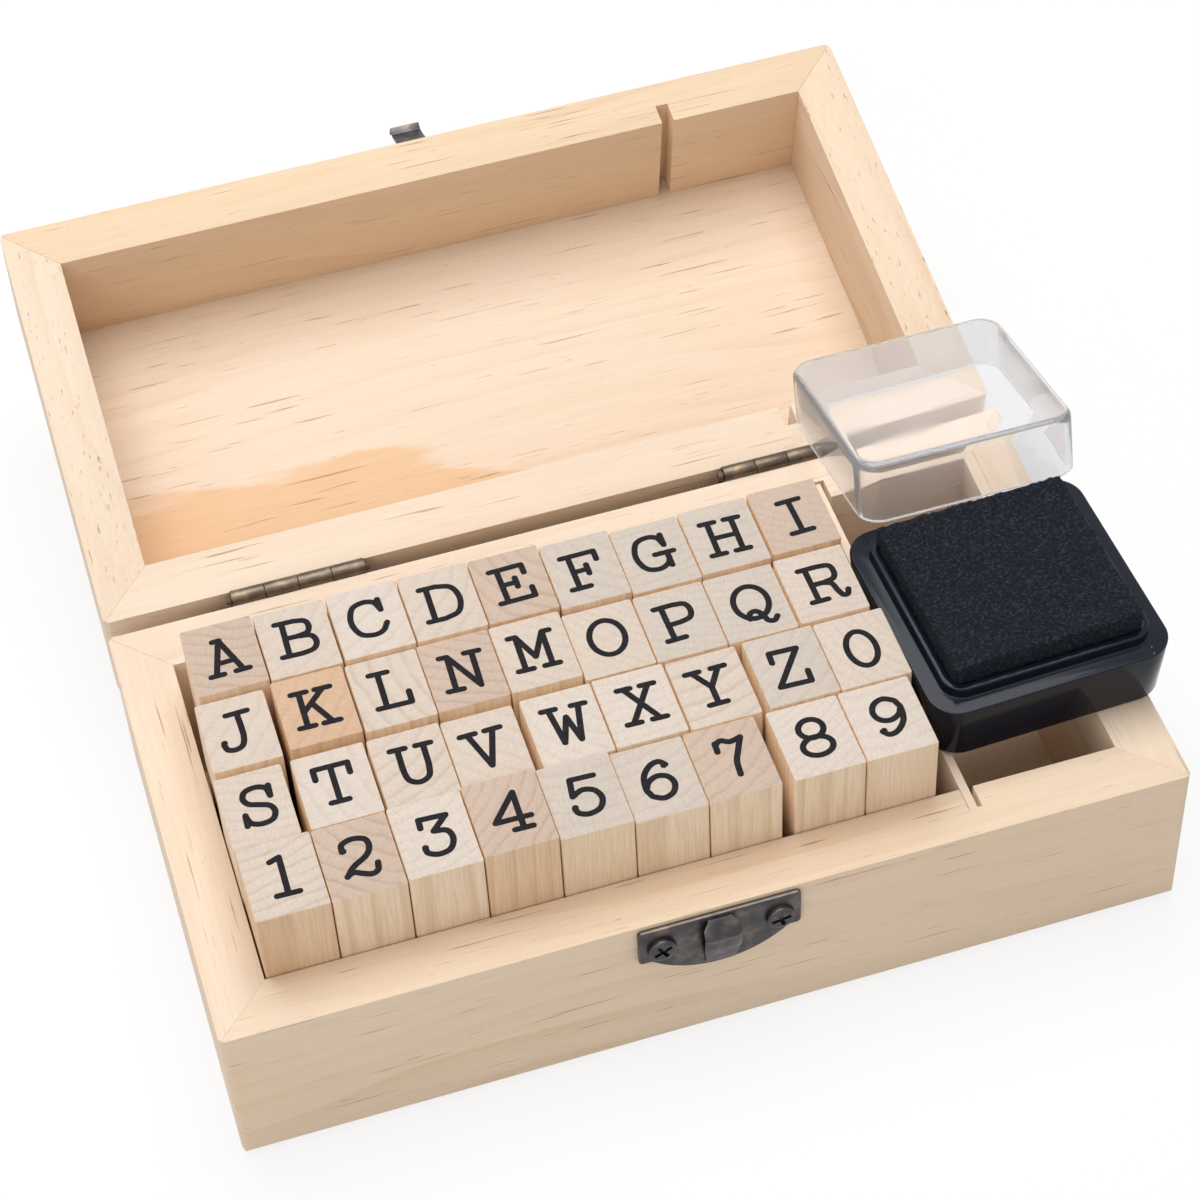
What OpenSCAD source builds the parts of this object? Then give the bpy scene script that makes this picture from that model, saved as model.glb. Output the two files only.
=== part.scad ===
// Pine stamp box: a mitred frame sawn into a base and a hinged lid, a grooved-in divider,
// thirty-six wooden stamps, and an ink pad with its clear cover taken off.
// Origin: centre of the base's underside. +X along the box, +Y towards the hinges, +Z up.

/* [Stamps] */
// Width of one stamp along the box
stamp_w = 11.4; // [9:0.1:14]
// Depth of one stamp across the box
stamp_d = 13.9; // [11:0.1:18]
// Length of the shortest stamp, with its rubber die
stamp_len = 41.2; // [36:0.1:56]
// Stamps in one row
columns = 9; // [9]
// Rows of stamps
rows = 4; // [4]
// Nominal gap between two stamps
stamp_gap = 0.22; // [0.1:0.01:0.6]
// Easing radius on a stamp's long edges
stamp_edge_r = 0.4; // [0.2:0.1:1]
// Thickness of the rubber die and its cushion under a stamp
die_t = 3.2; // [2:0.1:5]
// How far the die stands back from a stamp's sides
die_inset = 0.7; // [0.3:0.1:1.5]

/* [Box] */
// Thickness of the side walls
wall = 9; // [7:0.5:12]
// Height of the base
base_h = 31.5; // [26:0.5:38]
// Thickness of the floor panel and of the lid's panel
panel_t = 3; // [2:0.5:4]
// How far the panels are let in to the walls
rebate_d = 4; // [2:0.5:5]
// Rounding on the outer edges of the underside and of the lid's top
edge_r = 2.5; // [0.5:0.5:4]
// Rounding on the upright outer corners
corner_r = 1.2; // [0.4:0.1:3]
// Spare length in the stamps' room
spare_len = 5.3; // [4:0.1:16]
// Spare depth in the stamps' room
spare_wid = 7.7; // [3:0.1:16]
// Room for the ink pad, stood on its edge
ink_room = 24; // [22:0.1:40]
// Space between the tops of the stamps and the lid's panel
head_room = 8.3; // [2:0.1:20]
// Gap between the two rims when the lid is shut
rim_gap = 0.1; // [0.05:0.05:0.5]

/* [Divider] */
// Width of the sawn grooves
kerf_w = 2.2; // [1.6:0.1:4]
// Depth of the sawn grooves
kerf_d = 4; // [2:0.5:6]
// Thickness of the divider
divider_t = 1.4; // [0.8:0.1:1.5]
// How far the divider's top stays under the rim
divider_drop = 0.4; // [0:0.1:3]

/* [Hinges] */
// Length of a hinge
leaf_w = 22.6; // [16:0.2:30]
// Height of one leaf below its axle
leaf_h = 9.6; // [8:0.1:16]
// Thickness of the leaves
leaf_t = 0.8; // [0.5:0.1:1.2]
// Outer radius of the rolled knuckles
knuckle_r = 1.45; // [1.2:0.05:2]
// Radius of the hinge pin
pin_r = 0.62; // [0.4:0.01:0.8]
// Running clearance round a pin
pin_play = 0.03; // [0.01:0.01:0.1]
// Distance of the axle behind the back face
axle_out = 1.5; // [1.4:0.05:2.2]
// Left hinge's centre, left of the box's middle
hinge_left = 44.6; // [20:0.2:60]
// Right hinge's centre, right of the box's middle
hinge_right = 40; // [20:0.2:60]
// Distance from the axle down to a leaf's screws
screw_drop = 6; // [5:0.1:8]
// Distance between a leaf's two screws
screw_pitch = 13; // [8:0.2:18]
// Gap left between the screw heads where they stop the lid
stop_gap = 0.06; // [0.02:0.01:0.2]

/* [Screws] */
// Radius of a screw's head
head_r = 2.1; // [1.6:0.1:2.6]
// Height of a screw's head
head_h = 1.2; // [0.8:0.05:1.4]
// Radius of a screw's shank
shank_r = 0.9; // [0.6:0.05:1.2]
// Length of a screw's shank
shank_len = 6.5; // [4:0.5:8]
// Length of one arm-to-arm slot of the cross in a screw's head
cross_len = 2.9; // [2:0.1:3.2]
// Width of the cross's slots
cross_w = 0.7; // [0.4:0.05:0.9]
// Depth of the cross
cross_deep = 0.8; // [0.5:0.05:1]

/* [Clasp] */
// Width of the clasp's plates
plate_w = 25.8; // [20:0.2:34]
// Height of a plate at its ends
ear_h = 7.6; // [6:0.1:10]
// Height of a plate at its middle
belly_h = 12.1; // [9:0.1:16]
// Distance of the catch plate's straight edge from the base's rim
plate_drop = 0.8; // [0.2:0.1:2]
// Distance of the hasp plate's straight edge from the lid's rim
hasp_drop = 4.6; // [0.8:0.1:6]
// Distance of a plate's screws from its middle
plate_screw_x = 9.6; // [7:0.1:13]
// Distance of a plate's screws from its straight edge
plate_screw_drop = 5; // [3:0.1:7]
// Width of the catch's raised tongue
tongue_w = 6; // [4:0.1:8]
// How far the tongue's tip stands out
tongue_out = 2.6; // [1.5:0.1:3.5]
// Width of the hinged flap
flap_w = 5.4; // [4:0.1:7]
// Outer radius of the flap's knuckle
flap_knuckle_r = 1.25; // [1:0.05:1.6]
// Radius of the flap's pin
flap_pin_r = 0.5; // [0.35:0.01:0.6]
// Turn of the flap from hooked on the catch to thrown back
flap_throw = 118; // [0:1:140]

/* [Ink pad] */
// Width of the ink pad's tray at its shelf
tray_w = 40.2; // [34:0.1:46]
// Height of the tray up to its shelf
tray_h = 10.8; // [8:0.1:14]
// How much narrower the tray is underneath
tray_draft = 1.4; // [0.6:0.1:4]
// Wall of the tray round the foam's well
tray_wall = 1.3; // [1:0.1:2]
// Height of the ridge that the cover fits round
ridge_h = 2; // [1:0.1:3]
// How far the clear cover stands back from the tray's sides
cover_inset = 1.5; // [0.8:0.1:3]
// Height of the clear cover
cover_h = 10.8; // [8:0.1:16]
// Thickness of the clear cover
cover_t = 1.1; // [0.8:0.1:1.6]
// How far the foam stands above the ridge
foam_proud = 2.2; // [0.5:0.1:4]
// Turn of the ink pad on the rim
tray_turn = 2.2; // [-5:0.1:5]

/* [Hidden] */
$fn = 48;

pine = "#e3c49c";
pine_end = "#d5bda4";
ply = "#dcb88a";
bronze = "#5a4e46";
black_plastic = "#1c1e22";
ink_black = "#15171f";
clear_plastic = [0.9, 0.9, 0.94, 0.35];

// Overall sizes that follow from what the box holds
stamp_room = columns * (stamp_w + stamp_gap) + spare_len;
inner_len = stamp_room + kerf_w / 2 + ink_room + divider_t / 2;
inner_wid = rows * (stamp_d + stamp_gap) + spare_wid;
box_len = inner_len + 2 * wall;
box_wid = inner_wid + 2 * wall;
stamp_top = panel_t + stamp_len;
lid_h = stamp_top - base_h + head_room + panel_t;
lid_z = base_h + rim_gap;
kerf_x = inner_len / 2 - ink_room - divider_t / 2;

// The hinges' axle, and the angle at which the leaves' screw heads meet
axle_y = box_wid / 2 + axle_out;
axle_z = base_h + rim_gap / 2;
lid_open = 180 - 2 * atan((leaf_t + head_h + stop_gap - axle_out) / screw_drop);
knuckles = 4;
knuckle_pitch = leaf_w / knuckles;
knuckle_gap = 0.12;
seat = 0.1;
glue = 0.05;
eps = 0.01;

// The stamps are hand-sawn and stand unevenly. Each table has a row of stamps per line, from the back.
// Gap on the left of each stamp
gap_before = [
    [1.6, 0.3, 0.4, 0.3, 0.2, 0.2, 0.2, 0.2, 0.3],
    [0.6, 1.2, 0.4, 0.2, 0.2, 0.2, 0.2, 0.2, 0.4],
    [0.2, 1.4, 0.5, 0.2, 1.2, 0.2, 0.4, 1.2, 0.2],
    [0.3, 0.2, 0.2, 0.2, 0.2, 0.2, 0.2, 1.9, 0.2],
];
// How much longer than the shortest each was cut
extra_len = [
    [1.3, 0.9, 1, 0.8, 0.9, 0.9, 0.3, 0.5, 0.9],
    [0.5, 1.1, 0.6, 0.8, 0.9, 0.3, 0.4, 0.3, 0.5],
    [0.4, 0.7, 0.6, 0.3, 0.5, 0.8, 0.4, 0.5, 0.4],
    [1.2, 1, 1.4, 2, 1.2, 0.3, 0.4, 0.2, 0.2],
];
// How far each stands back from its row's front line
set_back = [
    [1.4, 1.3, 1.4, 1.5, 1.3, 0.6, 0.4, 0.5, 0.5],
    [0.9, 1.1, 1.1, 1.1, 1, 0.2, 0, 0, 0.1],
    [0.3, 0.1, 0.1, 0, 0.1, 0, 0, 0.1, 0],
    [0, 0, 0, 0, 0, 0, 0, 0, 0],
];
// How much slimmer the first stamp of each row is
first_slim = [0.1, 0.5, 0.9, 0];
row_gap = [0.6, 0.5, 0.2, 0.2];

function sum_to(list, n) = n < 0 ? 0 : list[n] + sum_to(list, n - 1);

// A plan or face with four round corners, made of plain squares and circles
module round_rect(w, d, r) {
    square([w - 2 * r, d], center = true);
    square([w, d - 2 * r], center = true);
    for (x = [-1, 1], y = [-1, 1])
        translate([x * (w / 2 - r), y * (d / 2 - r)]) circle(r);
}

// Section of a wall that stands on z = 0: the outer face at y = 0, the panel's rebate inside
module wall_section(h) {
    difference() {
        square([wall, h]);
        difference() {
            translate([-eps, -eps]) square(edge_r + eps);
            translate([edge_r, edge_r]) circle(edge_r);
        }
        translate([wall - rebate_d, -eps]) square([rebate_d + eps, panel_t + eps]);
    }
}

// One wall of a frame, mitred at both ends; side 0 is the front, then right, back and left
module frame_wall(side, h) {
    len_here = side % 2 == 0 ? box_len : box_wid;
    off_here = (side % 2 == 0 ? box_wid : box_len) / 2;
    intersection() {
        rotate([0, 0, 90 * side]) translate([0, -off_here, 0]) intersection() {
            rotate([90, 0, 90]) linear_extrude(len_here, center = true) wall_section(h);
            linear_extrude(h) polygon([
                [-len_here / 2, 0], [len_here / 2, 0],
                [len_here / 2 - wall, wall], [wall - len_here / 2, wall],
            ]);
        }
        linear_extrude(h) round_rect(box_len, box_wid, corner_r);
    }
}

// The sawn groove for the divider in the front and back walls, above the panel
module kerf(h) {
    for (s = [-1, 1])
        translate([kerf_x - kerf_w / 2, s * (inner_wid / 2 + kerf_d / 2) - kerf_d / 2 - (s > 0 ? 1 : 0), panel_t])
            cube([kerf_w, kerf_d + 1, h]);
}

module panel() {
    linear_extrude(panel_t)
        square([inner_len + 2 * rebate_d, inner_wid + 2 * rebate_d], center = true);
}

// A pan-head wood screw along -Z, its head standing on z = 0
module screw() {
    dome_r = (head_r * head_r + head_h * head_h) / (2 * head_h);
    difference() {
        union() {
            rotate_extrude() intersection() {
                translate([0, head_h - dome_r]) circle(dome_r);
                square([head_r, head_h]);
            }
            translate([0, 0, -shank_len + shank_r]) cylinder(h = shank_len - shank_r + eps, r = shank_r);
            translate([0, 0, -shank_len]) cylinder(h = shank_r, r1 = 0.1, r2 = shank_r);
        }
        for (a = [0, 90])
            rotate([0, 0, a]) translate([-cross_len / 2, -cross_w / 2, head_h - cross_deep])
                cube([cross_len, cross_w, head_h]);
    }
}

module pilot_hole() {
    translate([0, 0, -shank_len - 0.3]) cylinder(h = shank_len + 1, r = shank_r + 0.03);
}

// Places on the hinges' back faces, below or above the axle, and on the clasp's front faces
module at_leaf_screws(z_side) {
    for (hx = [-hinge_left, hinge_right], s = [-1, 1])
        translate([hx + s * screw_pitch / 2, box_wid / 2 + leaf_t, axle_z + z_side * screw_drop])
            rotate([-90, 0, 0]) rotate([0, 0, 17 * s + hx]) children();
}

module at_plate_screws(z_side) {
    edge_z = z_side < 0 ? base_h - plate_drop : lid_z + hasp_drop;
    for (s = [-1, 1])
        translate([s * plate_screw_x, -box_wid / 2 - leaf_t, edge_z + z_side * plate_screw_drop])
            rotate([90, 0, 0]) rotate([0, 0, 30 * s]) children();
}

// The lid is drawn shut and then turned about the axle
module open_lid() {
    translate([0, axle_y, axle_z]) rotate([-lid_open, 0, 0]) translate([0, -axle_y, -axle_z]) children();
}

module lid_wall(side) {
    color(pine) open_lid() difference() {
        translate([0, 0, lid_z + lid_h]) mirror([0, 0, 1]) difference() {
            frame_wall(side, lid_h);
            kerf(lid_h);
        }
        at_plate_screws(1) pilot_hole();
        at_leaf_screws(1) pilot_hole();
    }
}

module base_wall(side) {
    color(pine) difference() {
        frame_wall(side, base_h);
        kerf(base_h);
        at_plate_screws(-1) pilot_hole();
        at_leaf_screws(-1) pilot_hole();
    }
}

module base_floor() {
    color(ply) panel();
}

module lid_panel() {
    color(ply) open_lid() translate([0, 0, lid_z + lid_h - panel_t]) panel();
}

module divider() {
    span = inner_wid + 2 * (kerf_d - 0.2);
    color(ply)
        translate([kerf_x - kerf_w / 2 + 0.2, -span / 2, panel_t])
            cube([divider_t, span, base_h - panel_t - divider_drop]);
}

// One leaf below the axle, with its rolled knuckles; first is 0 or 1, the first knuckle it owns
module leaf(first) {
    other_r = knuckle_r + 0.2;
    difference() {
        union() {
            translate([0, leaf_t, -leaf_h / 2]) rotate([90, 0, 0]) linear_extrude(leaf_t)
                difference() {
                    round_rect(leaf_w, leaf_h, 1.2);
                    for (s = [-1, 1])
                        translate([s * screw_pitch / 2, leaf_h / 2 - screw_drop]) circle(shank_r + 0.2);
                }
            translate([-leaf_w / 2, 0, -leaf_h / 2]) cube([leaf_w, leaf_t, leaf_h / 2]);
            for (i = [first:2:knuckles - 1])
                translate([-leaf_w / 2 + i * knuckle_pitch + knuckle_gap / 2, axle_out, 0])
                    rotate([0, 90, 0]) cylinder(h = knuckle_pitch - knuckle_gap, r = knuckle_r);
        }
        for (i = [1 - first:2:knuckles - 1])
            translate([-leaf_w / 2 + i * knuckle_pitch - knuckle_gap / 2, -1, -other_r])
                cube([knuckle_pitch + knuckle_gap, leaf_t + 2, 2 * other_r]);
        for (s = [-1, 1])
            translate([s * screw_pitch / 2, -1, -screw_drop]) rotate([-90, 0, 0])
                cylinder(h = leaf_t + 2, r = shank_r + 0.2);
        translate([-leaf_w, axle_out, 0]) rotate([0, 90, 0]) cylinder(h = 2 * leaf_w, r = pin_r + pin_play);
    }
}

module hinge_base_leaves() {
    color(bronze) for (hx = [-hinge_left, hinge_right])
        translate([hx, box_wid / 2, axle_z]) leaf(0);
}

module hinge_lid_leaves() {
    color(bronze) open_lid() for (hx = [-hinge_left, hinge_right])
        translate([hx, box_wid / 2, axle_z]) mirror([0, 0, 1]) leaf(1);
}

module hinge_pins() {
    color(bronze) for (hx = [-hinge_left, hinge_right])
        translate([hx - leaf_w / 2, axle_y, axle_z]) rotate([0, 90, 0]) {
            translate([0, 0, -0.3]) cylinder(h = leaf_w + 0.6, r = pin_r);
            translate([0, 0, -0.8]) cylinder(h = 0.7, r1 = pin_r, r2 = pin_r + 0.35);
            translate([0, 0, leaf_w + 0.1]) cylinder(h = 0.7, r1 = pin_r + 0.35, r2 = pin_r);
        }
}

module base_screws() {
    color(bronze) {
        at_leaf_screws(-1) screw();
        at_plate_screws(-1) screw();
    }
}

module lid_screws() {
    color(bronze) open_lid() {
        at_leaf_screws(1) screw();
        at_plate_screws(1) screw();
    }
}

// Outline of the clasp's plates, hanging from y = 0: square ears and a round belly
module plate_outline() {
    belly_x = plate_w / 2 - 2;
    belly_r = (belly_x * belly_x + (belly_h - ear_h) * (belly_h - ear_h)) / (2 * (belly_h - ear_h));
    difference() {
        union() {
            translate([0, -ear_h / 2]) round_rect(plate_w, ear_h, 0.5);
            intersection() {
                translate([0, belly_r - belly_h]) circle(belly_r, $fn = 96);
                translate([-belly_x, -belly_h - 1]) square([2 * belly_x, belly_h + 1]);
            }
        }
        for (s = [-1, 1])
            translate([s * plate_screw_x, -plate_screw_drop]) circle(shank_r + 0.2);
    }
}

// The tongue is lanced out of the plate: an arc in side view that leaves the plate at the top
tongue_top = 0.8;
tongue_tip = 7.8;
tongue_r = ((tongue_tip - tongue_top) * (tongue_tip - tongue_top) + tongue_out * tongue_out) / (2 * tongue_out);

module tongue_side(r) {
    translate([leaf_t + tongue_out - tongue_r, -tongue_tip]) circle(r, $fn = 96);
}

module catch_plate() {
    color(bronze) translate([0, -box_wid / 2, base_h - plate_drop]) {
        difference() {
            rotate([90, 0, 0]) linear_extrude(leaf_t) plate_outline();
            translate([-tongue_w / 2 - 0.25, -leaf_t - 1, -tongue_tip - 0.3])
                cube([tongue_w + 0.5, leaf_t + 2, 4.6]);
        }
        intersection() {
            rotate([90, 0, -90]) linear_extrude(tongue_w, center = true) intersection() {
                difference() {
                    tongue_side(tongue_r);
                    tongue_side(tongue_r - leaf_t);
                }
                translate([0, -tongue_tip]) square([leaf_t + tongue_out, tongue_tip - 0.4]);
            }
            translate([0, 1, -tongue_tip / 2]) rotate([90, 0, 0]) linear_extrude(8)
                round_rect(tongue_w, tongue_tip, 1.2);
        }
    }
}

// The flap turns on a pin held in two ears at the hasp plate's straight edge
flap_axle_out = flap_knuckle_r + 0.25;
flap_axle_up = hasp_drop + 0.6;
flap_knuckle_w = 3.4;
flap_ear_w = 1.4;
ear_play = 0.05;

module at_flap_axle() {
    translate([0, -box_wid / 2 - flap_axle_out, lid_z + flap_axle_up]) children();
}

module hasp_plate() {
    ear_x = flap_knuckle_w / 2 + 0.1;
    color(bronze) open_lid() difference() {
        union() {
            translate([0, -box_wid / 2, lid_z + hasp_drop]) mirror([0, 0, 1])
                rotate([90, 0, 0]) linear_extrude(leaf_t) plate_outline();
            for (s = [-1, 1]) translate([s * (ear_x + flap_ear_w / 2), 0, 0]) {
                at_flap_axle() rotate([0, 90, 0]) cylinder(h = flap_ear_w, r = flap_knuckle_r, center = true);
                translate([-flap_ear_w / 2, -box_wid / 2 - flap_axle_out, lid_z + flap_axle_up])
                    cube([flap_ear_w, flap_axle_out, flap_knuckle_r]);
            }
        }
        translate([-ear_x, -box_wid / 2 - 3, lid_z]) cube([2 * ear_x, 4, flap_axle_up + flap_knuckle_r + 0.3]);
        at_flap_axle() rotate([0, 90, 0]) cylinder(h = 10, r = flap_pin_r + ear_play, center = true);
    }
}

module hasp_pin() {
    pin_len = flap_knuckle_w + 0.2 + 2 * flap_ear_w;
    color(bronze) open_lid() at_flap_axle() rotate([0, 90, 0]) {
        cylinder(h = pin_len + 0.1, r = flap_pin_r, center = true);
        for (s = [-1, 1]) translate([0, 0, s * (pin_len / 2 + 0.15)])
            cylinder(h = 0.3, r = flap_pin_r + 0.15, center = true);
    }
}

// Unit step to the left of the way from one point to the next
function left_of(p, q) = [p[1] - q[1], q[0] - p[0]] / norm(q - p);
// One side of a bent strap whose middle line is given
function strap_side(line, half) = [
    for (i = [0 : len(line) - 1])
        let(last = len(line) - 1,
            before = left_of(line[max(i, 1) - 1], line[max(i, 1)]),
            after = left_of(line[min(i, last - 1)], line[min(i, last - 1) + 1]),
            both = before + after)
        line[i] + both * 2 * half / (both * both)
];

module hasp_flap() {
    t = 0.65;
    // Side view when hooked: out from the wall, and down from the rim of the base
    axle = [flap_axle_out, flap_axle_up + rim_gap];
    root = axle + [flap_knuckle_r - t / 2 - 0.06, 0];
    bend = [leaf_t + tongue_out + 0.55, -6];
    heel = [bend[0] + 0.05, -plate_drop - tongue_tip - 0.35];
    hook = [heel[0] - 0.95, heel[1] - 0.75];
    bill = [heel[0] + 0.5, hook[1] - 1.8];
    middle = [root, bend, heel, hook, bill];
    far_side = strap_side(middle, -t / 2);
    neck_len = 2.3;
    color(bronze) open_lid() at_flap_axle() rotate([-flap_throw, 0, 0]) difference() {
        union() {
            rotate([0, 90, 0]) cylinder(h = flap_knuckle_w, r = flap_knuckle_r, center = true);
            rotate([90, 0, -90]) translate(-axle) difference() {
                linear_extrude(flap_w, center = true)
                    polygon(concat(strap_side(middle, t / 2), [for (i = [len(middle) - 1 : -1 : 0]) far_side[i]]));
                for (s = [-1, 1]) translate([0, axle[1] - neck_len, s * (flap_knuckle_w + 4) / 2 - 2])
                    cube([2 * axle[0] + flap_knuckle_r, 2 * neck_len, 4]);
            }
        }
        rotate([0, 90, 0]) cylinder(h = 10, r = flap_pin_r + pin_play, center = true);
    }
}

// The ink pad lies across the right wall's rim and the divider, beside the stamps
tray_x = kerf_x + 16.6;
tray_y = -5.8;
tray_r = 5;
cover_w = tray_w - 2 * cover_inset;
ridge_w = cover_w - 2 * cover_t - 0.4;
well_w = ridge_w - 2 * tray_wall;
well_floor = 2.4;

module at_tray() {
    translate([tray_x, tray_y, base_h + seat]) rotate([0, 0, tray_turn]) children();
}

module ink_tray() {
    slope = (tray_w - tray_draft) / tray_w;
    color(black_plastic) at_tray() difference() {
        union() {
            translate([0, 0, tray_h]) mirror([0, 0, 1])
                linear_extrude(tray_h, scale = slope) round_rect(tray_w, tray_w, tray_r, $fn = 40);
            linear_extrude(tray_h + ridge_h) round_rect(ridge_w, ridge_w, 3.4);
        }
        translate([0, 0, well_floor]) linear_extrude(tray_h + ridge_h) round_rect(well_w, well_w, 2.4);
    }
}

module ink_foam() {
    foam_w = well_w - 0.5;
    foam_h = tray_h + ridge_h + foam_proud - well_floor - 0.2;
    ease = 1;
    color(ink_black) at_tray() translate([0, 0, well_floor + 0.2]) hull() {
        linear_extrude(foam_h - ease) round_rect(foam_w, foam_w, 2.2, $fn = 32);
        linear_extrude(foam_h) round_rect(foam_w - 2 * ease, foam_w - 2 * ease, 1.6, $fn = 32);
    }
}

// The cover leans with its front edge on the back of the tray's shelf and its back edge on the lid's rim
cover_front_y = tray_y + tray_w / 2;
cover_front_z = base_h + seat + tray_h + 0.3;
cover_x = tray_x + 2.3;
lid_slope = 180 - lid_open;

// Height of the open lid's rim at a place behind the axle
function lid_rim_z(y) = axle_z + (rim_gap / 2) + (y - axle_y) * tan(lid_slope);
// The lean at which a cover of this width just reaches the lid's rim, found by halving
function cover_lean(lo, hi, n) =
    let(mid = (lo + hi) / 2,
        back_z = cover_front_z - cover_w * sin(mid),
        back_y = cover_front_y + cover_w * cos(mid))
    n == 0 ? mid : back_z > lid_rim_z(back_y) + seat ? cover_lean(mid, hi, n - 1) : cover_lean(lo, mid, n - 1);

module ink_cover() {
    lean = cover_lean(0, 40, 24);
    color(clear_plastic) translate([cover_x, cover_front_y, cover_front_z])
        rotate([-lean, 0, 0]) translate([0, cover_w / 2, 0]) difference() {
            linear_extrude(cover_h) round_rect(cover_w, cover_w, 4.2);
            translate([0, 0, -eps]) linear_extrude(cover_h - cover_t)
                round_rect(cover_w - 2 * cover_t, cover_w - 2 * cover_t, 4.2 - cover_t);
        }
}

// One stamp: a pine stick with eased edges on a narrower rubber die
module stamp(row, col) {
    wide = stamp_w - (col == 0 ? first_slim[row] : 0);
    left = sum_to(gap_before[row], col) + col * stamp_w - (col == 0 ? 0 : first_slim[row]);
    front = (rows - 1 - row) * (stamp_d + stamp_gap) + row_gap[row] + set_back[row][col];
    top = stamp_len + extra_len[row][col];
    color(pine_end)
        translate([left + wide / 2 - inner_len / 2, front + stamp_d / 2 - inner_wid / 2, panel_t]) {
            translate([0, 0, die_t]) linear_extrude(top - die_t) round_rect(wide, stamp_d, stamp_edge_r);
            translate([0, 0, seat]) linear_extrude(die_t - seat - glue)
                round_rect(wide - 2 * die_inset, stamp_d - 2 * die_inset, stamp_edge_r);
        }
}

base_wall(0);  // base_front_wall
base_wall(1);  // base_right_wall
base_wall(2);  // base_back_wall
base_wall(3);  // base_left_wall
base_floor();
divider();
hinge_base_leaves();
hinge_pins();
base_screws();
catch_plate();
lid_wall(0);  // lid_front_wall
lid_wall(1);  // lid_right_wall
lid_wall(2);  // lid_back_wall
lid_wall(3);  // lid_left_wall
lid_panel();
hinge_lid_leaves();
lid_screws();
hasp_plate();
hasp_pin();
hasp_flap();
ink_tray();
ink_foam();
ink_cover();
// The stamps follow the first pieces in NODES, row by row from the back
first_stamp = 23;
for (row = [0:rows - 1], col = [0:columns - 1])
    stamp(row, col);
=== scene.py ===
"""Looks of the pine stamp box, built as a Blender add-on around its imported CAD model."""

import math
import random

import bmesh
import bpy
from bpy.props import FloatProperty, FloatVectorProperty, PointerProperty
from mathutils import Matrix, Vector, noise


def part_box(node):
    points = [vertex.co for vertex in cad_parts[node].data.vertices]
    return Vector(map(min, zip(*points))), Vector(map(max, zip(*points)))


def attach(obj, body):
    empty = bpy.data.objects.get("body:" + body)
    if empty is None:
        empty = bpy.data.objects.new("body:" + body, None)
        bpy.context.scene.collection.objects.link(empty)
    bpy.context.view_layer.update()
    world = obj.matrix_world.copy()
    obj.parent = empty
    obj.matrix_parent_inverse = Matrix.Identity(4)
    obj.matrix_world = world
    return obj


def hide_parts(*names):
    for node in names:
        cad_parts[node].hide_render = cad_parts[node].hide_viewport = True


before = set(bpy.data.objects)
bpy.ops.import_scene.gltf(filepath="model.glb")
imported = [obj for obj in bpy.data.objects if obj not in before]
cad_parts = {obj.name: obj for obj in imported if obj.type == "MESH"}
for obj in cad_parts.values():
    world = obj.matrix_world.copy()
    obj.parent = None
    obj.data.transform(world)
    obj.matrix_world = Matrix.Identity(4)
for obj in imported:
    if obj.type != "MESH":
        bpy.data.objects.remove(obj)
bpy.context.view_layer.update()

bl_info = {
    "name": "Pine Stamp Box",
    "version": (1, 0, 0),
    "blender": (4, 5, 0),
    "location": "View3D > Sidebar > Stamp Box",
    "description": "Finishes a wooden stamp box: timber, printed stamps, bronze fittings and "
                   "ink pad",
    "category": "Object",
}

MM = 0.001
STAMPS = "abcdefghijklmnopqrstuvwxyz0123456789"
# Faces that meet at less than this angle are shaded as one
SMOOTH_ANGLE = math.radians(32)
# Thickness of the clasp's lower plate
PLATE_THICK = 0.8 * MM
# Height and width of the grid that the characters are drawn on
GRID = 10
# Short straight lines that make up an oval, and a stroke's round end
OVAL_FACETS = 40
END_FACETS = 7

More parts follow.
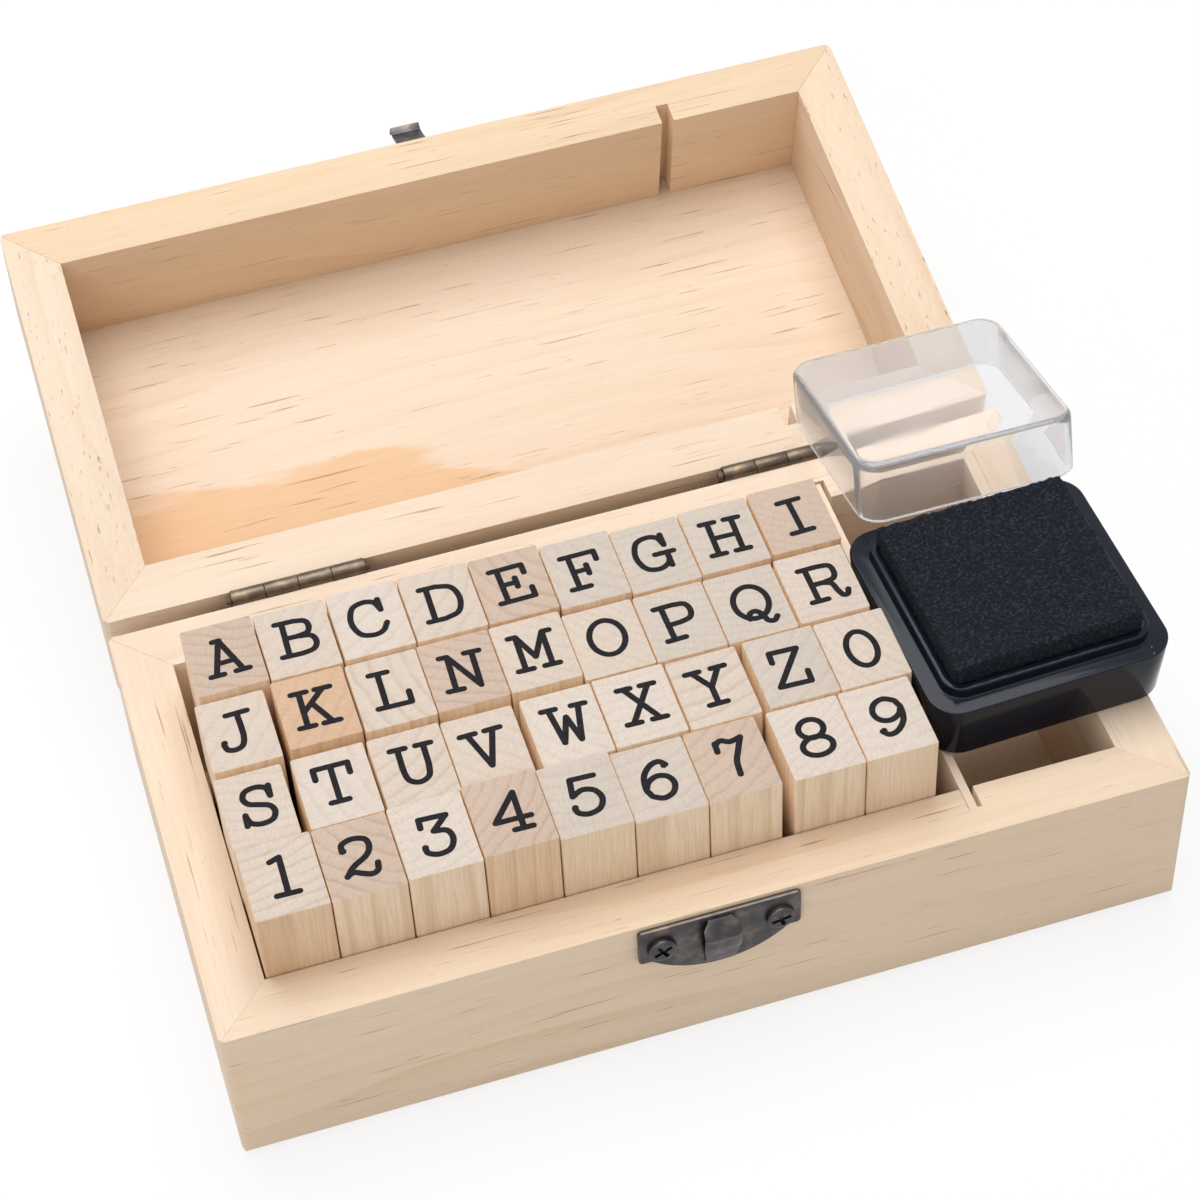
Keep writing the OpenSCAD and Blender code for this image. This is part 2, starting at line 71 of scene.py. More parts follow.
# Slab-serif characters on a grid ten high: strokes parted by "/", round ones start with "c",
# closed ovals with "o" (centre, then radii) and dots with "d" (centre, then radius)
CHARACTERS = {
    "a": "1.9,0 4.6,10/4.6,10 8.1,0/3.1,3.4 6.9,3.4/.6,0 3.6,0/6.4,0 9.5,0/3.2,10 4.8,10",
    "b": "2.2,0 2.2,10/.6,0 5.4,0/.6,10 5,10/c5,10 7.4,9.4 8.1,7.7 7.4,5.9 5,5.3/2.2,5.3 5,5.3/"
         "c5,5.3 8,4.7 8.9,2.7 8,.7 5.4,0",
    "c": "c8.4,6.9 7.4,9.3 5,10.1 2.2,9 1,5 2.2,1.1 5,-.1 7.4,.5 8.8,2.6/8.4,6.7 8.4,10",
    "d": "2.2,0 2.2,10/.6,0 4.6,0/.6,10 4.6,10/c4.6,10 7.9,8.8 9.1,5 7.9,1.2 4.6,0",
    "e": "2.4,0 2.4,10/.6,0 8.8,0 8.8,2.7/.6,10 8.3,10 8.3,7.5/2.4,5.2 5.8,5.2/5.8,3.8 5.8,6.6",
    "f": "2.6,0 2.6,10/.8,0 5.2,0/.8,10 8.8,10 8.8,7.4/2.6,5.1 6,5.1/6,3.7 6,6.5",
    "g": "c8.3,6.9 7.3,9.3 5,10.1 2.2,9 1,5 2.2,1.1 5,-.1 7.4,.8 8.3,2.2/8.3,.2 8.3,4.4/"
         "5.4,4.4 9.9,4.4/8.3,6.7 8.3,10",
    "h": "2.1,0 2.1,10/7.9,0 7.9,10/2.1,5.1 7.9,5.1/.4,0 3.8,0/6.2,0 9.6,0/.4,10 3.8,10/"
         "6.2,10 9.6,10",
    "i": "5,0 5,10/2.4,0 7.6,0/2.4,10 7.6,10",
    "j": "c6.3,10 6.35,6 6.2,2.8 5.4,.6 3.7,-.1 2,.4 1.5,2/d1.7,2.5 .75/3.8,10 8.7,10",
    "k": "2.2,0 2.2,10/7.7,10 2.6,4.6/4.5,6.3 7.9,0/.4,0 3.9,0/5.9,0 9.6,0/.4,10 3.9,10/"
         "5.9,10 9.3,10",
    "l": "3,0 3,10/1,10 5.2,10/1,0 8.7,0 8.7,3.2",
    "m": "1.9,0 1.9,10 5,3.2 8.1,10 8.1,0/.2,0 3.7,0/6.3,0 9.8,0/.2,10 1.9,10/8.1,10 9.8,10",
    "n": "2.1,0 2.1,10 7.8,0 7.8,10/.3,0 3.8,0/.3,10 2.1,10/6.1,10 9.5,10",
    "o": "o5,5 4,5.1",
    "p": "2.6,0 2.6,10/.9,0 5.2,0/.9,10 5.4,10/c5.4,10 8,9.4 8.8,7.3 8,5.2 5.4,4.5/"
         "2.6,4.5 5.4,4.5",
    "q": "o4.8,5.2 4,4.9/c3.2,.4 3.6,2 5,2.4 6.2,1.2 7,-.9 8.4,-1.4 9.4,-.3",
    "r": "2.3,0 2.3,10/.7,0 4.5,0/.7,10 5.4,10/c5.4,10 7.9,9.5 8.5,7.5 7.8,5.6 5.4,5/"
         "2.3,5 5.2,5/c5,5 6.8,4.1 7.4,1.9 8.1,.1 9.2,0 9.8,1.3",
    "s": "c7.9,7.2 7.2,9.4 5,10.1 2.6,9.4 1.9,7.5 2.9,5.9 5,5.2 7.3,4.4 8.2,2.6 7.4,.6 5,-.1 "
         "2.6,.6 1.7,2.7/7.9,7 7.9,10/1.7,3 1.7,0",
    "t": "5,0 5,10/3,0 7,0/1.1,7.1 1.1,10 8.9,10 8.9,7.1",
    "u": "c2.1,10 2.1,7 2.15,3.8 2.8,1 5,-.1 7.2,1 7.85,3.8 7.9,7 7.9,10/.4,10 3.8,10/"
         "6.2,10 9.6,10",
    "v": "2.1,10 5,.2 7.9,10/.4,10 3.9,10/6.1,10 9.6,10",
    "w": "1.6,10 3.1,.2 5,7.2 6.9,.2 8.4,10/0,10 3.2,10/6.8,10 10,10",
    "x": "2,0 7.9,10/2.2,10 8.1,0/.5,0 3.7,0/6.3,0 9.6,0/.8,10 3.8,10/6.1,10 9.3,10",
    "y": "1.9,10 5,4.9/8.1,10 5,4.9/5,4.9 5,0/.4,10 3.6,10/6.4,10 9.6,10/2.9,0 7.1,0",
    "z": "1.7,7.2 1.7,10 8.1,10 1.5,0 8.7,0 8.7,3",
    "0": "o5,5 3.3,5.1",
    "1": "5.1,0 5.1,10/5.1,10 2.9,9.2/2.6,0 7.6,0",
    "2": "c2.1,7.3 2.4,9.2 4.8,10.1 7.5,9.3 8,7 6.7,4.8 3.6,2.8 1.7,.5/"
         "c1.7,.6 3.2,1.3 5,.5 7,-.2 8.4,.5 8.8,2.4/d2.3,7.4 .8",
    "3": "2,7.6 2,9.9 8,9.9 4.6,6.2/c4.6,6.2 7.4,5.7 8.3,3.3 7.2,.7 4.6,-.1 2.4,.7 1.9,2/"
         "d2,2.3 .75",
    "4": "6.6,0 6.6,10 1,2.9 8.9,2.9/4.6,0 8.7,0",
    "5": "7.9,9.9 2.6,9.9 2.2,5.3/"
         "c2.2,5.3 4.6,6.6 7.2,5.8 8.3,3.3 7.2,.8 4.6,-.1 2.5,.6 1.9,1.9/d2,2.3 .75",
    "6": "c7.7,8.7 6.4,9.9 4.3,9.3 2.3,6.8 1.8,3.4 2.3,1.7/"
         "c2.3,1.7 2.8,.9 5,-.1 7.3,.9 8.2,3.3 7.2,5.4 5,6.1 2.9,5.1 1.9,3.3/d7.3,8.5 .75",
    "7": "2,7.2 2,9.6/c2,9.2 3.4,10.1 5.4,9.3 7.9,10/c7.9,10 6.5,6.6 5.4,3.6 5.2,0",
    "8": "o5,7.5 2.8,2.6/o5,2.5 3.4,2.6",
    "9": "c2.3,1.3 3.6,.1 5.7,.7 7.7,3.2 8.2,6.6 7.7,8.3/"
         "c7.7,8.3 7.2,9.1 5,10.1 2.7,9.1 1.8,6.7 2.8,4.6 5,3.9 7.1,4.9 8.1,6.7/d2.7,1.5 .75",
}

# End grain of the stamps: the tone that each stick was sawn from
END_TONES = {
    "pale": ("#d8cbbf", "wx389ct"),
    "cream": ("#d5c6b8", "bdsvujr0ylom1"),
    "grey": ("#cdc1b5", "fghpqz56"),
    "pink": ("#cab4a3", "aein247"),
    "warm": ("#d2b194", "k"),
}
# Stamps whose growth rings show most, and stamps with browner sides
RINGED = "aenlu1247y"
BROWN_SIDED = "1k4ei"


class TimberSettings(bpy.types.PropertyGroup):
    """Bare pine of the box and of its thin boards."""

    early: FloatVectorProperty(
        name="Early wood", description="Pale wood between the growth lines",
        default=(0.82, 0.675, 0.54), subtype="COLOR", size=3, min=0, max=1)
    late: FloatVectorProperty(
        name="Late wood", description="Darker wood of the growth lines",
        default=(0.66, 0.44, 0.27), subtype="COLOR", size=3, min=0, max=1)
    ring: FloatProperty(
        name="Ring spacing", description="Distance between two growth lines",
        default=4.2 * MM, unit="LENGTH", precision=4)
    ease: FloatProperty(
        name="Edge easing", description="Width of the sanded bevel on the timber's edges",
        default=0.12 * MM, unit="LENGTH", precision=5)


class StampSettings(bpy.types.PropertyGroup):
    """Wooden stamps and the characters printed on their tops."""

    side: FloatVectorProperty(
        name="Side grain", description="Wood on a stamp's sides",
        default=(0.9, 0.72, 0.53), subtype="COLOR", size=3, min=0, max=1)
    ink: FloatVectorProperty(
        name="Printing ink", description="Ink of the characters",
        default=(0.012, 0.011, 0.013), subtype="COLOR", size=3, min=0, max=1)
    height: FloatProperty(
        name="Character height", description="Height of a printed character",
        default=6.9 * MM, unit="LENGTH", precision=4)
    stroke: FloatProperty(
        name="Stroke", description="Width of a printed stroke",
        default=0.98 * MM, unit="LENGTH", precision=5)
    die: FloatProperty(
        name="Die", description="Height of the rubber under the stick",
        default=3.07 * MM, unit="LENGTH", precision=5)
    ease: FloatProperty(
        name="Edge easing", description="Width of the bevel round a stamp's top",
        default=0.22 * MM, unit="LENGTH", precision=5)


class FittingSettings(bpy.types.PropertyGroup):
    """Antiqued bronze of the hinges, screws and clasp."""

    bronze: FloatVectorProperty(
        name="Clasp", description="Colour of the clasp's plating, which is worn to slate",
        default=(0.078, 0.073, 0.076), subtype="COLOR", size=3, min=0, max=1)
    hinge: FloatVectorProperty(
        name="Hinges", description="Colour of the hinges' plating",
        default=(0.135, 0.108, 0.082), subtype="COLOR", size=3, min=0, max=1)
    head: FloatProperty(
        name="Screw heads", description="Radius of the clasp's screw heads",
        default=2.3 * MM, unit="LENGTH", precision=5)
    ease: FloatProperty(
        name="Edge rounding", description="Width of the tumbled edges",
        default=0.12 * MM, unit="LENGTH", precision=5)


class PadSettings(bpy.types.PropertyGroup):
    """Ink pad: moulded tray, foam and clear cover."""

    tray: FloatVectorProperty(
        name="Tray", description="Colour of the moulded tray",
        default=(0.006, 0.009, 0.018), subtype="COLOR", size=3, min=0, max=1)
    foam: FloatVectorProperty(
        name="Inked foam", description="Colour of the foam's cells",
        default=(0.003, 0.005, 0.011), subtype="COLOR", size=3, min=0, max=1)
    round_edge: FloatProperty(
        name="Tray edges", description="Rounding of the tray's edges",
        default=0.24 * MM, unit="LENGTH", precision=5)
    proud: FloatProperty(
        name="Foam rise", description="How far the foam swells above its cut size",
        default=1.3 * MM, unit="LENGTH", precision=5)
    cell: FloatProperty(
        name="Foam cell", description="Size of the open cells in the foam",
        default=0.7 * MM, unit="LENGTH", precision=5)
    cover_round: FloatProperty(
        name="Cover edges", description="Rounding of the clear cover's top edges",
        default=1.5 * MM, unit="LENGTH", precision=5)


class StageSettings(bpy.types.PropertyGroup):
    """Floor, lamps and camera."""

    key: FloatProperty(
        name="Key lamp", description="Power of the large lamp overhead", default=8.0, min=0)
    fill: FloatProperty(
        name="Fill lamp", description="Power of the lamp in front", default=1.3, min=0)
    sky: FloatProperty(
        name="Room light", description="Strength of the white room", default=0.36, min=0)


def linear(code):
    """The linear colour of an sRGB hex code."""
    parts = [int(code[i:i + 2], 16) / 255 for i in (1, 3, 5)]
    return tuple(v / 12.92 if v <= 0.04045 else ((v + 0.055) / 1.055) ** 2.4
                 for v in parts) + (1.0,)


def grey(value):
    """A colour without a hue."""
    return (value, value, value, 1.0)


def scaled(colour, factors):
    """A colour with each channel multiplied by its factor."""
    return tuple(v * k for v, k in zip(colour, factors)) + (1.0,)


def add(tree, kind, settings=None, inputs=None, stops=None):
    """Adds a node: its settings, its inputs' values or links, and a ramp's stops."""
    made = tree.nodes.new(kind)
    for key, value in (settings or {}).items():
        setattr(made, key, value)
    for key, value in (inputs or {}).items():
        socket = made.inputs[key]
        if isinstance(value, bpy.types.NodeSocket):
            tree.links.new(value, socket)
        else:
            socket.default_value = value
    if stops:
        while len(made.color_ramp.elements) < len(stops):
            made.color_ramp.elements.new(0.5)
        for stop, (place, colour) in zip(made.color_ramp.elements, stops):
            stop.position = place
            stop.color = colour
    return made


def new_material(name):
    """A new material, its tree and its principled shader."""
    material = bpy.data.materials.new(name)
    material.use_nodes = True
    tree = material.node_tree
    return material, tree, tree.nodes["Principled BSDF"]


def millimetres(tree, turn=(0, 0, 0), shift=(0, 0, 0), stretch=(1, 1, 1)):
    """Object coordinates in millimetres, shifted, then turned, then stretched."""
    place = add(tree, "ShaderNodeTexCoord").outputs["Object"]
    moved = add(tree, "ShaderNodeMapping", {"vector_type": "TEXTURE"},
                {"Vector": place, "Location": shift, "Rotation": turn, "Scale": (MM, MM, MM)})
    return add(tree, "ShaderNodeMapping", None,
               {"Vector": moved.outputs["Vector"], "Scale": stretch}).outputs["Vector"]


def noise_value(tree, vector, detail, roughness=0.5, scale=1.0):
    """A cloudy value that changes from place to place."""
    return add(tree, "ShaderNodeTexNoise", None, {
        "Vector": vector, "Scale": scale, "Detail": detail,
        "Roughness": roughness}).outputs["Fac"]


def ramp(tree, value, stops):
    """The colour that a value has among its stops."""
    return add(tree, "ShaderNodeValToRGB", None, {"Fac": value}, stops).outputs["Color"]


def remap(tree, value, low, high, dim=0.0, bright=1.0, settings=None):
    """A value's range from low to high, brought to the range from dim to bright."""
    return add(tree, "ShaderNodeMapRange", settings, {
        "Value": value, "From Min": low, "From Max": high,
        "To Min": dim, "To Max": bright}).outputs[0]


def math_node(tree, operation, first, second=0.0):
    """The result of one operation on two values."""
    return add(tree, "ShaderNodeMath", {"operation": operation}, {0: first, 1: second}).outputs[0]


def vector_math(tree, operation, first, second=(0, 0, 0)):
    """The node of one operation on two vectors."""
    return add(tree, "ShaderNodeVectorMath", {"operation": operation}, {0: first, 1: second})


def height_of(tree, vector):
    """The upward part of a vector."""
    return add(tree, "ShaderNodeSeparateXYZ", None, {"Vector": vector}).outputs["Z"]


def blend_colour(tree, mode, amount, first, second):
    """The second colour laid over the first by an amount."""
    return add(tree, "ShaderNodeMix", {"data_type": "RGBA", "blend_type": mode},
               {0: amount, 6: first, 7: second}).outputs[2]


def bump(tree, shader, height, strength, distance):
    """Gives a shader fine relief that is as deep as distance."""
    relief = add(tree, "ShaderNodeBump", None, {
        "Height": height, "Strength": strength, "Distance": distance})
    tree.links.new(relief.outputs["Normal"], shader.inputs["Normal"])


def mix_surfaces(tree, amount, first, second):
    """Gives a material a surface mixed from two shaders."""
    mixed = add(tree, "ShaderNodeMixShader", None, {0: amount, 1: first, 2: second})
    tree.links.new(mixed.outputs["Shader"], tree.nodes["Material Output"].inputs["Surface"])


def sanded_pine(name, timber, along="X", seed=0.0, tilt=50, warmth_and_shade=0.0, heart=None):
    """Pine, planed and sanded but left bare: faint growth lines along the board, fine fibres and
    short brown pitch streaks. It gives the eye a warm, quiet, nearly matt surface. A heart is
    (centre x, centre y, reach x, reach y) in millimetres of a patch of darker heartwood."""
    material, tree, shader = new_material(name)
    way = 0 if along == "X" else math.pi / 2
    turn = (math.radians(tilt), 0, way)
    shift = (0.013 * seed, 0.007 * seed, 0.0051 * seed)

    def grain(stretch, detail, roughness=0.5, slide=0.0):
        place = (shift[0] + slide, shift[1] + slide, shift[2])
        return noise_value(tree, millimetres(tree, turn, place, stretch), detail, roughness)

    def band(value, low, high, dim=0.0, bright=1.0):
        return remap(tree, value, low, high, dim, bright, {"interpolation_type": "SMOOTHSTEP"})

    across = height_of(tree, millimetres(tree, turn, shift))
    bend = math_node(tree, "MULTIPLY", grain((0.007, 0.03, 0.03), 2.0, 0.4), 26.0)
    rings = math_node(tree, "FRACT", math_node(
        tree, "DIVIDE", math_node(tree, "ADD", across, bend), timber.ring / MM))
    lines = ramp(tree, rings, [
        (0.0, grey(0.05)), (0.5, grey(0.2)), (0.85, grey(0.75)), (0.94, grey(0.8)),
        (1.0, grey(0.05))])
    # Growth lines fade in and out along the board
    shown = math_node(tree, "MULTIPLY", lines,
                      band(grain((0.01, 0.07, 0.07), 2.0, 0.5, 0.04), 0.4, 0.75, 0.08, 0.62))
    # Browner wood where asked: partly a browner board, partly painted shade on faces that lie in
    # shade
    early = scaled(timber.early, (1 - 0.02 * warmth_and_shade, 1 - 0.14 * warmth_and_shade, 1 - 0.34 * warmth_and_shade))
    late = scaled(timber.late, (1, 1 - 0.08 * warmth_and_shade, 1 - 0.2 * warmth_and_shade))
    wood = blend_colour(tree, "MIX", shown, early, late)
    cloud = band(grain((0.012, 0.05, 0.05), 3.0, 0.5, 0.09), 0.3, 0.7)
    wood = blend_colour(tree, "MIX", math_node(tree, "MULTIPLY", cloud, 0.4),
                        wood, scaled(early, (0.95, 0.9, 0.83)))
    if heart:
        # Distance from the heart's middle, 1 at its edge, made ragged
        offset = vector_math(tree, "SUBTRACT", millimetres(tree), (heart[0], heart[1], 0))
        reach = vector_math(tree, "MULTIPLY", offset.outputs[0], (1 / heart[2], 1 / heart[3], 0))
        far = vector_math(tree, "LENGTH", reach.outputs[0]).outputs["Value"]
        ragged = math_node(tree, "MULTIPLY", grain((0.02, 0.12, 0.12), 3.0, 0.5, 0.2), 0.9)
        patch = band(math_node(tree, "ADD", far, ragged), 1.34, 1.42, 0.7, 0.0)
        wood = blend_colour(tree, "MIX", patch, wood, linear("#e3b585"))
    # Fibres are 0.05 mm wide; they are drawn 0.4 mm wide to show
    fibre = grain((0.07, 2.4, 2.4), 4.0, 0.62)
    fibre_shade = add(tree, "ShaderNodeCombineColor", None, {
        "Red": band(fibre, 0.3, 0.65, 0.955), "Green": band(fibre, 0.3, 0.65, 0.935),
        "Blue": band(fibre, 0.3, 0.65, 0.9)})
    wood = blend_colour(tree, "MULTIPLY", 1.0, wood, fibre_shade.outputs[0])
    # Long pitch lines, then short specks: stretch, least noise that shows, depth of colour
    for stretch, limit, depth in (((0.055, 1.8, 1.8), 0.655, 0.95), ((0.2, 2.2, 2.2), 0.69, 0.6)):
        pitch = math_node(tree, "MULTIPLY",
                          band(grain(stretch, 2.0, 0.55, 0.3), limit, limit + 0.07),
                          math_node(tree, "MULTIPLY", band(shown, 0.05, 0.4, 0.55), depth))
        wood = blend_colour(tree, "MIX", pitch, wood, linear("#8c6541"))
    tree.links.new(wood, shader.inputs["Base Color"])
    tree.links.new(band(fibre, 0.3, 0.7, 0.56, 0.7), shader.inputs["Roughness"])
    shader.inputs["Specular IOR Level"].default_value = 0.3
    bump(tree, shader, fibre, 0.3, 0.07 * MM)
    return material


def sawn_stick(letter, stamps, low, high):
    """A sawn pine stick: growth rings cross its end as shallow arcs and run down its sides as
    fibres. The rough end is greyer and paler than the tan sides. The rubber die under the stick
    is part of the same piece and is told from it by height."""
    material, tree, shader = new_material("sawn pine stick " + letter.upper())
    middle = (low + high) / 2
    chance = random.Random("pith " + letter)
    reach = chance.uniform(22, 45) * MM
    way = chance.uniform(0.2, 2.7)
    pith = (middle.x + reach * math.cos(way), middle.y + reach * math.sin(way), 0.0)

    def from_pith(stretch, turn=(0, 0, 0)):
        return millimetres(tree, turn, pith, stretch)

    wander = noise_value(tree, from_pith((0.16, 0.16, 0.01)), 2.0)
    distance = vector_math(tree, "LENGTH", from_pith((1, 1, 0))).outputs["Value"]
    bent = math_node(tree, "ADD", distance, math_node(tree, "MULTIPLY", wander, 2.4))
    rings = math_node(tree, "FRACT", math_node(tree, "DIVIDE", bent, chance.uniform(1.5, 2.9)))
    arcs = ramp(tree, rings, [
        (0.0, grey(0.0)), (0.6, grey(0.12)), (0.88, grey(0.75)), (0.97, grey(0.4)),
        (1.0, grey(0.0))])
    end = linear(next(code for code, letters in END_TONES.values() if letter in letters))
    cloud = noise_value(tree, from_pith((0.2, 0.2, 0.02)), 3.0)
    faint = math_node(tree, "MULTIPLY", arcs, math_node(
        tree, "MULTIPLY", cloud, 1.1 if letter in RINGED else 0.6))
    end_wood = blend_colour(tree, "MIX", faint, end, scaled(end, (0.72, 0.64, 0.57)))
    # Rays and open cells of the end grain
    speck = noise_value(tree, from_pith((1.1, 3.4, 0.3), (0, 0, way)), 4.0, 0.7)
    end_wood = blend_colour(tree, "MULTIPLY", 0.8, end_wood,
                            ramp(tree, speck, [(0.32, grey(0.84)), (0.6, grey(1.0))]))
    # Side grain: saw-torn fibres along the stick, drawn 0.3 mm wide to show
    fibre = noise_value(tree, from_pith((3.2, 3.2, 0.11)), 4.0, 0.65)
    brown = chance.uniform(0.0, 0.25) + (0.75 if letter in BROWN_SIDED else 0.0)
    side = scaled(stamps.side, [1 - brown * k for k in (0.12, 0.22, 0.32)])
    dark_side = scaled(side, (0.72, 0.6, 0.48))
    side_wood = blend_colour(tree, "MIX", ramp(tree, fibre, [(0.34, grey(0.42)), (0.6, grey(0.0))]),
                             side, dark_side)
    side_wood = blend_colour(tree, "MIX", math_node(tree, "MULTIPLY", arcs, 0.6),
                             side_wood, dark_side)
    face = add(tree, "ShaderNodeNewGeometry").outputs["Normal"]
    is_end = remap(tree, height_of(tree, face), 0.8, 0.97)
    wood = blend_colour(tree, "MIX", is_end, side_wood, end_wood)
    is_die = math_node(tree, "LESS_THAN", height_of(tree, millimetres(tree)),
                       (low.z + stamps.die) / MM)
    wood = blend_colour(tree, "MIX", is_die, wood, linear("#67605f"))
    tree.links.new(wood, shader.inputs["Base Color"])
    shader.inputs["Roughness"].default_value = 0.78
    shader.inputs["Specular IOR Level"].default_value = 0.22
    bump(tree, shader, blend_colour(tree, "MIX", is_end, fibre, speck), 0.35, 0.09 * MM)
    return material


def printing_ink(stamps):
    """Matt black stamping ink that has sunk into end grain, so it is a little patchy."""
    material, tree, shader = new_material("matt printing ink")
    patchy = noise_value(tree, millimetres(tree), 4.0, 0.7, 1.6)
    ink = tuple(stamps.ink) + (1.0,)
    thin = tuple(v * 1.8 + 0.003 for v in stamps.ink) + (1.0,)
    tree.links.new(ramp(tree, patchy, [(0.42, ink), (0.72, thin)]), shader.inputs["Base Color"])
    shader.inputs["Roughness"].default_value = 0.8
    shader.inputs["Specular IOR Level"].default_value = 0.12
    return material


def antique_bronze(name, base):
    """Stamped steel plated in antiqued bronze: dark slate in the hollows, browner and brighter in
    rubbed clouds and on worn edges. The pale outward edges are partly worn plating and partly a
    painted highlight. It gives the eye a dull, handled metal."""
    material, tree, shader = new_material(name)
    cloud = noise_value(tree, millimetres(tree), 4.0, 0.55, 0.35)
    tone = ramp(tree, cloud, [
        (0.36, scaled(base, (0.7, 0.7, 0.7))), (0.52, base + (1,)),
        (0.68, scaled(base, (1.9, 1.65, 1.3)))])
    # The dark finish is rubbed off the outward edges; the pale edges are partly worn plating and
    # partly a painted highlight
    pointed = add(tree, "ShaderNodeNewGeometry").outputs["Pointiness"]
    worn = blend_colour(tree, "MIX", remap(tree, pointed, 0.53, 0.62, 0.0, 0.45),
                        tone, linear("#8f8272"))
    tree.links.new(worn, shader.inputs["Base Color"])
    shader.inputs["Metallic"].default_value = 1.0
    rubbed = noise_value(tree, millimetres(tree, (0.4, 0, 0.3), (0, 0, 0), (0.5, 3, 3)), 3.0)
    tree.links.new(remap(tree, rubbed, 0.0, 1.0, 0.22, 0.55), shader.inputs["Roughness"])
    bump(tree, shader, cloud, 0.25, 0.1 * MM)
    return material


def moulded_black(pad):
    """Injection-moulded black polystyrene: a smooth gloss with faint flow waves and white dust."""
    material, tree, shader = new_material("black polystyrene, moulded")
    dust = add(tree, "ShaderNodeTexVoronoi", {"feature": "F1"}, {
        "Vector": millimetres(tree), "Scale": 0.42, "Randomness": 1.0})
    fleck = ramp(tree, dust.outputs["Distance"], [(0.035, grey(1.0)), (0.055, grey(0.0))])
    spread = noise_value(tree, millimetres(tree), 2.0, 0.5, 0.12)
    some = ramp(tree, spread, [(0.5, grey(0.0)), (0.62, grey(0.7))])
    tone = blend_colour(tree, "MIX", math_node(tree, "MULTIPLY", fleck, some),
                        tuple(pad.tray) + (1,), linear("#b9bcc4"))
    tree.links.new(tone, shader.inputs["Base Color"])
    shader.inputs["IOR"].default_value = 1.5
    shader.inputs["Specular IOR Level"].default_value = 0.2
    tree.links.new(remap(tree, spread, 0.0, 1.0, 0.08, 0.2), shader.inputs["Roughness"])
    return material


def inked_foam(pad):
    """Open-cell polyurethane foam soaked with black ink: matt, with pale glints on cell walls
    painted into its colour.
    """
    material, tree, shader = new_material("open-cell foam soaked with ink")
    cells = noise_value(tree, millimetres(tree), 3.0, 0.7, 1.5 * (MM / pad.cell))
    # The pale cell-wall tone is a painted glint
    wall = tuple(v * 2.5 + 0.022 for v in pad.foam) + (1,)
    tone = ramp(tree, cells, [
        (0.42, scaled(pad.foam, (0.5, 0.5, 0.5))), (0.52, tuple(pad.foam) + (1,)), (0.64, wall)])
    tree.links.new(tone, shader.inputs["Base Color"])
    shader.inputs["Roughness"].default_value = 0.85
    shader.inputs["Specular IOR Level"].default_value = 0.22
    bump(tree, shader, cells, 1.0, 0.5 * MM)
    return material


def clear_polystyrene():
    """Clear moulded polystyrene: nearly colourless, with a slight haze from handling."""
    material, tree, shader = new_material("clear polystyrene, moulded")
    shader.inputs["Base Color"].default_value = linear("#ececee")
    shader.inputs["Transmission Weight"].default_value = 0.9
    shader.inputs["IOR"].default_value = 1.49
    handled = noise_value(tree, millimetres(tree), 3.0, 0.6, 0.09)
    tree.links.new(remap(tree, handled, 0.45, 0.75, 0.02, 0.14), shader.inputs["Roughness"])
    # A thin clear wall lets lamp light through nearly whole, which keeps what it covers bright
    lamp_light = add(tree, "ShaderNodeLightPath").outputs["Is Shadow Ray"]
    through = add(tree, "ShaderNodeBsdfTransparent", None, {"Color": grey(0.86)})
    mix_surfaces(tree, lamp_light, shader.outputs["BSDF"], through.outputs["BSDF"])
    return material


def deselect_all():
    """Leaves no object selected."""
    for other in bpy.context.selected_objects:
        other.select_set(False)


def only(piece):
    """Selects one object and makes it the active one."""
    deselect_all()
    bpy.context.view_layer.objects.active = piece
    piece.select_set(True)


def pick(piece, kind, wanted):
    """Goes into edit mode with only the wanted ones of a mesh's vertices or edges selected."""
    only(piece)
    bpy.context.tool_settings.mesh_select_mode = (kind == "vertices", kind == "edges", False)
    bpy.ops.object.mode_set(mode="EDIT")
    bpy.ops.mesh.select_all(action="DESELECT")
    bpy.ops.object.mode_set(mode="OBJECT")
    for part in getattr(piece.data, kind):
        part.select = wanted(part)
    bpy.ops.object.mode_set(mode="EDIT")


def apply_modifier(piece, kind, **settings):
    """Adds a modifier with its settings and makes its result the piece's own mesh."""
    made = piece.modifiers.new(kind.title(), kind)
    for key, value in settings.items():
        setattr(made, key, value)
    only(piece)
    bpy.ops.object.modifier_apply(modifier=made.name)


def link(name, data):
    """A new object in the scene that shows a mesh or curve."""
    piece = bpy.data.objects.new(name, data)
    bpy.context.scene.collection.objects.link(piece)
    return piece


def copy_of_node(name, new_name):
    """A copy of a CAD node's mesh with its triangles merged back to whole faces."""
    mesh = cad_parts[name].data.copy()
    piece = link(new_name, mesh)
    only(piece)
    bpy.ops.object.mode_set(mode="EDIT")
    bpy.ops.mesh.select_all(action="SELECT")
    bpy.ops.mesh.remove_doubles(threshold=0.002 * MM)
    bpy.ops.mesh.dissolve_limited(angle_limit=math.radians(0.5))
    bpy.ops.object.mode_set(mode="OBJECT")
    if mesh.has_custom_normals:
        bpy.ops.mesh.customdata_custom_splitnormals_clear()
    return piece


def dress(piece, material):
    """Gives a piece one material in place of any that it had."""
    piece.data.materials.clear()
    piece.data.materials.append(material)


def eased(node, new_name, body, width, material, segments=2, angle=35):
    """A node's copy with its edges rounded by a bevel, riding in the node's place."""
    piece = copy_of_node(node, new_name)
    apply_modifier(piece, "BEVEL", width=width, segments=segments, limit_method="ANGLE",
                   angle_limit=math.radians(angle))
    only(piece)
    bpy.ops.object.shade_smooth_by_angle(angle=SMOOTH_ANGLE)
    dress(piece, material)
    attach(piece, body)
    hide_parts(node)
    return piece


